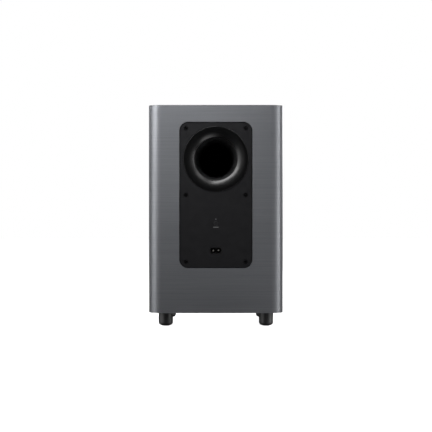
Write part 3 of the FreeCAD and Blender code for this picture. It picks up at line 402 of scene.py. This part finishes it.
def dress_everything():
    """Each CAD node takes its material. The visible plastics are as dark as the real ones look."""
    dress(brushed_film(), "cabinet_wrap")
    dress(matt_film(), "top_laminate")
    dress(wall_board("wall_fibreboard"), "front_panel", "left_panel", "right_panel", "top_panel")
    dress(sprayed(wall_board("rear_fibreboard"), "Y", middle("rear_panel").y), "rear_panel")
    dress(fibreboard("painted_fibreboard", BLACK_PAINT, True), "bottom_panel")
    plate = textured_plastic("plate_plastic", (0.0057, 0.0057, 0.0063), 0.5, Specular_IOR_Level=0.1)
    dress(plate, "rear_plate")
    dress(foam(), "plate_gasket", "driver_gasket")
    dress(plain_metal("black_zinc", (0.012, 0.012, 0.0125), 0.42), "plate_screws", "driver_screws")
    dress(plain_metal("bright_zinc", (0.62, 0.62, 0.6), 0.32), "board_screws", "foot_screws")
    bell = polished_plastic("satin_black", (0.0008, 0.0008, 0.0009), 0.29, Specular_IOR_Level=0.25)
    dress(bell, "port_flare")
    dress(textured_plastic("port_plastic", (0.016, 0.016, 0.0164), 0.5, 1800, 0.02, Specular_IOR_Level=0.08),
          "port_tube", "port_inner_flare")
    dress(clear_acrylic(), "light_pipe")
    dress(polished_plastic("milky_epoxy", (0.75, 0.75, 0.7), 0.2), "status_light")
    dress(textured_plastic("button_plastic", (0.0075, 0.0075, 0.0082), 0.42, 3600, 0.015,
                           Specular_IOR_Level=0.15), "connect_button")
    dress(textured_plastic("inlet_plastic", (0.0025, 0.0025, 0.0026), 0.35, 4200, 0.012,
                           Specular_IOR_Level=0.3), "mains_inlet_body")
    pin = plain_metal("nickel", (0.32, 0.31, 0.29), 0.5, (300, 2500, 300))
    pin.shader.inputs["Metallic"].default_value = 0.9
    dress(pin, "mains_inlet_pins")
    dress(circuit_board(), "main_board", "wireless_board")
    dress(ceramic("ferrite_core", (0.045, 0.045, 0.05)), "transformer_core")
    dress(ceramic("magnet_ferrite", (0.035, 0.035, 0.04)), "magnet_ring")
    dress(wound("amber_tape", (0.7, 0.42, 0.05), 2.2), "transformer_winding")
    dress(wound("copper_wire", (0.75, 0.33, 0.13), 0.76, "Z", 1.0, 0.28), "voice_coil")
    dress(wound("choke_wire", (0.75, 0.33, 0.13), 1.8, "X", 1.0, 0.28), "filter_choke")
    dress(polished_plastic("capacitor_sleeve", (0.015, 0.02, 0.055), 0.25), "bulk_capacitor")
    dress(plain_metal("extruded_alloy", (0.72, 0.72, 0.73), 0.35, (60, 60, 3000)), "heat_sink")
    epoxy = textured_plastic("package_epoxy", (0.018, 0.018, 0.018), 0.55, 5200, 0.01)
    dress(epoxy, "amplifier_chip", "switch_body", "switch_plunger", "output_inductor_1", "output_inductor_2")
    dress(textured_plastic("natural_nylon", (0.78, 0.74, 0.62), 0.5, 5200, 0.01), "speaker_header")
    dress(plain_metal("tinned_steel", (0.66, 0.66, 0.64), 0.3, (2500, 200, 200)), "wireless_shield")
    dress(textured_plastic("cover_plastic", (0.03, 0.03, 0.032), 0.6, 1500, 0.05), "electronics_cover")
    dress(rubber("lead_insulation", (0.35, 0.015, 0.012), 0.4), "speaker_lead")
    dress(plain_metal("powder_coated_steel", (0.02, 0.02, 0.021), 0.5, (1800, 1800, 1800)), "driver_basket")
    dress(rubber("trim_rubber", (0.012, 0.012, 0.012), 0.55), "surround_trim_ring")
    dress(paper_pulp(), "driver_cone", "dust_cap")
    dress(plain_metal("foil_former", (0.62, 0.56, 0.46), 0.3, (200, 200, 2600)), "voice_coil_former")
    dress(plain_metal("zinc_motor", (0.5, 0.5, 0.47), 0.38), "magnet_top_plate", "magnet_yoke")
    dress(paper_fibre(), "driver_terminals")
    feet = [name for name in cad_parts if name.startswith("foot_") and name != "foot_screws"]
    dress(textured_plastic("foot_plastic", (0.0125, 0.0125, 0.013), 0.42, 2400, 0.02), *feet)
    pads = [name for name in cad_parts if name.startswith("pad_")]
    dress(rubber("pad_rubber", (0.03, 0.03, 0.03), 0.7), *pads)


# ---------------------------------------------------------------- driver's soft parts

def revolved(name, profile, surface, steps=160):
    """A body of revolution about Z, from a closed profile of (radius, height) points."""
    vertices, faces = [], []
    count = len(profile)
    for step in range(steps):
        angle = 2 * math.pi * step / steps
        vertices += [(r * math.cos(angle), r * math.sin(angle), z) for r, z in profile]
        for index in range(count):
            a, b = step * count + index, step * count + (index + 1) % count
            after = count if step < steps - 1 else count - steps * count
            faces.append((a, a + after, b + after, b))
    return mesh_piece(name, vertices, faces, surface, None)


def blended_ring(piece, outer, inner, node):
    """The ring's place is baked into its mesh and the CAD node it stands for is hidden. Each vertex's share
    between the outer and inner radius is worked out but not used, so the ring does not bend.
    """
    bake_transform(piece)
    for vertex in piece.data.vertices:
        part = (outer - vertex.co.xy.length) / (outer - inner)
        part = min(1, max(0, part))
    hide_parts(node)


def make_surround():
    """The half roll between its two flat lips, a little thicker at its crown."""
    thick, outer_lip, inner_lip, crown = 0.8 * MM, 6.1 * MM, 5.4 * MM, 0.15 * MM
    outside, top = highest("driver_surround").x, highest("driver_surround").z
    level = top - thick
    roll = level - thick - lowest("driver_surround").z
    frame_inner = outside - outer_lip
    centre = frame_inner - roll
    cone_start = centre - roll - inner_lip
    profile = [(outside, level), (outside, top), (frame_inner, top)]
    arcs = 14
    for step in range(arcs + 1):
        angle = -math.pi * step / arcs
        profile.append((centre + roll * math.cos(angle), level + roll * math.sin(angle)))
    profile += [(centre - roll, top), (cone_start, top), (cone_start, level)]
    for step in range(arcs + 1):
        angle = -math.pi + math.pi * step / arcs
        reach = roll + thick + crown * math.sin(-angle)
        profile.append((centre + reach * math.cos(angle), level + reach * math.sin(angle)))
    skin = rubber("surround_rubber", (0.014, 0.014, 0.0145), 0.46)
    ring = revolved("rolled_surround", profile, skin)
    blended_ring(ring, frame_inner, centre - roll, "driver_surround")


def make_spider():
    """The corrugated cloth disc behind the cone, with a flat rim and a flat neck."""
    rim, neck, glue_gap = 6 * MM, 2.4 * MM, 0.1 * MM
    thick, half_wave = 0.6 * MM, 0.75 * MM
    waves, steps = 6, 12
    edge, top = highest("spider").x, highest("spider").z
    outer = edge - rim
    inner = highest("voice_coil_former").x + glue_gap + neck
    upper = [(inner - neck, top)]
    for step in range(waves * steps + 1):
        part = step / (waves * steps)
        radius = inner + (outer - inner) * part
        upper.append((radius, top - half_wave * (1 - math.cos(2 * math.pi * waves * part))))
    upper.append((edge, top))
    lower = [(radius, height - thick) for radius, height in upper]
    cloth = woven("spider_cloth", (0.5, 0.33, 0.1), 1.6)
    ring = revolved("corrugated_spider", upper[::-1] + lower, cloth)
    blended_ring(ring, outer, inner, "spider")


def tube_mesh(route, radius):
    """A closed round tube along a smooth curve with these control points."""
    curve = bpy.data.curves.new("tube_path", "CURVE")
    curve.dimensions = "3D"
    spline = curve.splines.new("NURBS")
    spline.points.add(len(route) - 1)
    for point, place in zip(spline.points, route):
        point.co = (*place, 1)
    spline.order_u = 3
    spline.use_endpoint_u = True
    spline.resolution_u = 12
    curve.bevel_depth = radius
    curve.bevel_resolution = 3
    holder = bpy.data.objects.new("tube_holder", curve)
    mesh = bpy.data.meshes.new_from_object(holder)
    bpy.data.objects.remove(holder)
    bpy.data.curves.remove(curve)
    close_ends(mesh)
    return mesh


def make_tinsel_leads():
    """Two braided leads that hang in a loop between the terminal strip and the back of the cone."""
    strip = middle("driver_terminals")
    outward = Vector((strip.x, strip.y, 0)).normalized()
    sideways = Vector((-outward.y, outward.x, 0))
    basket_wall = highest("spider").x + 1.2 * MM
    tab_level = lowest("driver_terminals").z - 3 * MM
    eyelet_radius, eyelet_level = 33 * MM, highest("driver_cone").z - 14.8 * MM
    tab_offset, eyelet_offset, braid_radius = 5 * MM, 8 * MM, 0.6 * MM
    braid = wound("tinsel_braid", (0.72, 0.42, 0.2), 1.1, "Z", 1.0, 0.3)
    for name, side in (("tinsel_lead_left", -1), ("tinsel_lead_right", 1)):
        tab = outward * basket_wall + sideways * side * tab_offset + Vector((0, 0, tab_level))
        eyelet = outward * eyelet_radius + sideways * side * eyelet_offset + Vector((0, 0, eyelet_level))
        sag = (tab + eyelet) / 2 - Vector((0, 0, 1 * MM))
        upper_bend = tab.lerp(sag, 0.5) - Vector((0, 0, 2 * MM))
        mesh = tube_mesh([tab, upper_bend, sag, sag.lerp(eyelet, 0.6), eyelet], braid_radius)
        mesh.materials.clear()
        mesh.materials.append(braid.material)
        lead = bpy.data.objects.new(name, mesh)
        bpy.context.scene.collection.objects.link(lead)
        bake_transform(lead)


# ---------------------------------------------------------------- soft and printed pieces

def make_wadding():
    """The mat of wadding, lumpy on its free side and pulled in along its edges."""
    low, size = lowest("damping_wadding"), highest("damping_wadding") - lowest("damping_wadding")
    back = low.y + size.y
    columns, rows = 48, 72
    width = columns + 1
    layer = width * (rows + 1)
    points, faces = [], []
    for free_side in (False, True):
        for row in range(rows + 1):
            for column in range(width):
                u, v = column / columns, row / rows
                edge = min(u, 1 - u, v, 1 - v)
                puff = min(1, edge * 9) ** 0.5
                place = Vector((low.x + u * size.x, 0, low.z + v * size.z))
                lump = 0.5 + 0.5 * noise.noise(place * 28) + 0.2 * noise.noise(place * 90)
                fullness = min(1, max(0.4, 0.65 + 0.35 * lump))
                thick = size.y * (0.25 + 0.7 * puff * fullness)
                place.y = back - thick if free_side else back
                points.append(place)
    for row in range(rows):
        for column in range(columns):
            a = row * width + column
            faces.append((a, a + width, a + 1 + width, a + 1))
            faces.append((a + layer, a + 1 + layer, a + 1 + width + layer, a + width + layer))
    rim = list(range(width))
    rim += [row * width + columns for row in range(1, rows + 1)]
    rim += [rows * width + column for column in range(columns - 1, -1, -1)]
    rim += [row * width for row in range(rows - 1, 0, -1)]
    for a, b in zip(rim, rim[1:] + rim[:1]):
        faces.append((a, b, b + layer, a + layer))
    mat = mesh_piece("wadding_mat", points, faces, wadding_fibre())
    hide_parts("damping_wadding")


def make_printed_mark():
    """A plain pale bar with round ends, printed on the plate under the button."""
    half_width, half_height, thick, below_button = 4.6 * MM, 0.75 * MM, 0.03 * MM, 6.7 * MM
    level = middle("connect_button").z - below_button
    centre = Vector((0, lowest("rear_plate").y - thick, level))
    ends = 10
    outline = []
    for side, start in ((1, -math.pi / 2), (-1, math.pi / 2)):
        for step in range(ends + 1):
            angle = start + math.pi * step / ends
            x = side * (half_width - half_height) + half_height * math.cos(angle)
            outline.append((x, half_height * math.sin(angle)))
    count = len(outline)
    front = [centre + Vector((x, 0, z)) for x, z in outline]
    back = [centre + Vector((x, thick, z)) for x, z in outline]
    faces = [tuple(range(count)), tuple(range(2 * count - 1, count - 1, -1))]
    faces += [(i, i + count, (i + 1) % count + count, (i + 1) % count) for i in range(count)]
    ink = Surface("pale_ink", (0.06, 0.06, 0.06), 0.6)
    grain = ink.grain((4000, 4000, 4000), 2, 0.5)
    ink.blend(ink.ranged(grain, 0, 1), (0.045, 0.045, 0.045), 0.5)
    mark = mesh_piece("printed_mark", front + back, faces, ink, smooth=False)


# ---------------------------------------------------------------- camera, lights and floor

def make_camera():
    """The camera stands far behind the rear face and a little above its middle."""
    rear, middle_height = CAD_BOX[0][1], (CAD_BOX[0][2] + CAD_BOX[1][2]) / 2
    distance, aside, raised = 2.15, 0.0002, 0.012
    camera = bpy.data.objects.new("camera", bpy.data.cameras.new("camera"))
    camera.data.lens = 107.5
    camera.data.sensor_width = 36
    camera.data.clip_end = 50
    camera.location = (aside, rear - distance, middle_height + raised)
    target = Vector((aside, rear, middle_height))
    camera.rotation_euler = (target - camera.location).to_track_quat("-Z", "Y").to_euler()
    bpy.context.scene.collection.objects.link(camera)
    bpy.context.scene.camera = camera


def soft_box(name, place, width, height, power, target=(0, -0.1, 0.2), spread=180):
    """A rectangular light, with its size in metres, its power in watts and its spread in degrees."""
    light = bpy.data.objects.new(name, bpy.data.lights.new(name, "AREA"))
    light.data.shape = "RECTANGLE"
    light.data.size, light.data.size_y = width, height
    light.data.energy = power
    light.data.spread = math.radians(spread)
    light.location = place
    direction = Vector(target) - Vector(place)
    light.rotation_euler = direction.to_track_quat("-Z", "Y").to_euler()
    bpy.context.scene.collection.objects.link(light)


def make_lights():
    """A close key above on the left, strips on both sides for the rounded edges, and weak fills."""
    soft_box("key", (-0.33, -0.32, 0.57), 0.2, 0.32, 2.9)
    soft_box("key_fill", (-0.75, -0.35, 0.45), 0.3, 0.5, 1.2)
    soft_box("top", (-0.1, -0.28, 0.69), 0.4, 0.14, 3.3)
    soft_box("top_front", (0, -1.2, 1.5), 1.0, 0.5, 2.4)
    soft_box("strip_left", (-1.4, -0.58, 0.35), 0.3, 1.2, 3.5)
    soft_box("strip_right", (1.4, -0.58, 0.35), 0.3, 1.2, 6.4)
    soft_box("wide_left", (-1.3, -1.0, 0.35), 0.6, 1.2, 5.9)
    soft_box("wide_right", (1.3, -1.0, 0.35), 0.6, 1.2, 2.3)
    soft_box("front_left", (-0.9, -1.6, 0.4), 0.8, 1.0, 1.2)
    soft_box("front_right", (0.9, -1.6, 0.4), 0.8, 1.0, 0.2)
    soft_box("near_right", (0.45, -0.3, 0.74), 0.6, 0.3, 2.6)
    soft_box("rim_left", (-1.5, -0.15, 0.4), 0.2, 1.2, 3.8)
    soft_box("rim_right", (1.5, -0.15, 0.4), 0.2, 1.2, 7.5)
    soft_box("floor_glow", (0.14, -0.24, 0.01), 0.4, 0.2, 0.12, (0, -0.11, 0.28), 60)
    soft_box("behind_left", (-0.9, 1.5, 1.1), 0.8, 0.8, 6)
    soft_box("behind_right", (0.9, 1.5, 0.7), 0.8, 0.8, 9)


def make_world():
    """White to the camera. To the object, a dim room with lighter sides and a little light from below."""
    world = bpy.data.worlds.new("studio")
    bpy.context.scene.world = world
    world.use_nodes = True
    tree = world.node_tree
    tree.nodes.clear()

    def number(operation, *values):
        node = tree.nodes.new("ShaderNodeMath")
        node.operation = operation
        for socket, value in zip(node.inputs, values):
            if isinstance(value, (int, float)):
                socket.default_value = value
            else:
                tree.links.new(value, socket)
        return node.outputs["Value"]

    place = tree.nodes.new("ShaderNodeTexCoord")
    split = tree.nodes.new("ShaderNodeSeparateXYZ")
    tree.links.new(place.outputs["Generated"], split.inputs["Vector"])
    sides = number("MULTIPLY", number("MULTIPLY", split.outputs["X"], split.outputs["X"]), 0.3)
    below = number("MAXIMUM", number("MULTIPLY", split.outputs["Z"], -0.04), 0)
    room = tree.nodes.new("ShaderNodeBackground")
    tree.links.new(number("ADD", sides, below), room.inputs["Strength"])
    seen = tree.nodes.new("ShaderNodeBackground")
    for background in (room, seen):
        background.inputs["Color"].default_value = (1, 1, 1, 1)
    path = tree.nodes.new("ShaderNodeLightPath")
    mix = tree.nodes.new("ShaderNodeMixShader")
    output = tree.nodes.new("ShaderNodeOutputWorld")
    tree.links.new(path.outputs["Is Camera Ray"], mix.inputs["Fac"])
    tree.links.new(room.outputs["Background"], mix.inputs[1])
    tree.links.new(seen.outputs["Background"], mix.inputs[2])
    tree.links.new(mix.outputs["Shader"], output.inputs["Surface"])


def make_floor():
    """A pale seamless floor, lit evenly enough to run into the white behind it."""
    size, level = 6, -0.2 * MM
    corners = [(x * size, y * size, level) for x, y in ((-1, -1), (1, -1), (1, 1), (-1, 1))]
    paper = Surface("floor_paper", (0.9, 0.9, 0.9), 0.95)
    paper.shader.inputs["Specular IOR Level"].default_value = 0
    paper.shader.inputs["Emission Color"].default_value = (1, 1, 1, 1)
    paper.shader.inputs["Emission Strength"].default_value = 1
    floor = mesh_piece("floor", corners, [(0, 1, 2, 3)], paper, None)
    floor.visible_diffuse = False
    floor.visible_glossy = False
    floor.visible_shadow = False


make_camera()
dress_everything()
make_surround()
make_spider()
make_tinsel_leads()
make_wadding()
make_printed_mark()
make_world()
make_lights()
make_floor()
bpy.context.scene.view_settings.view_transform = "Standard"
bpy.context.scene.view_settings.look = "None"
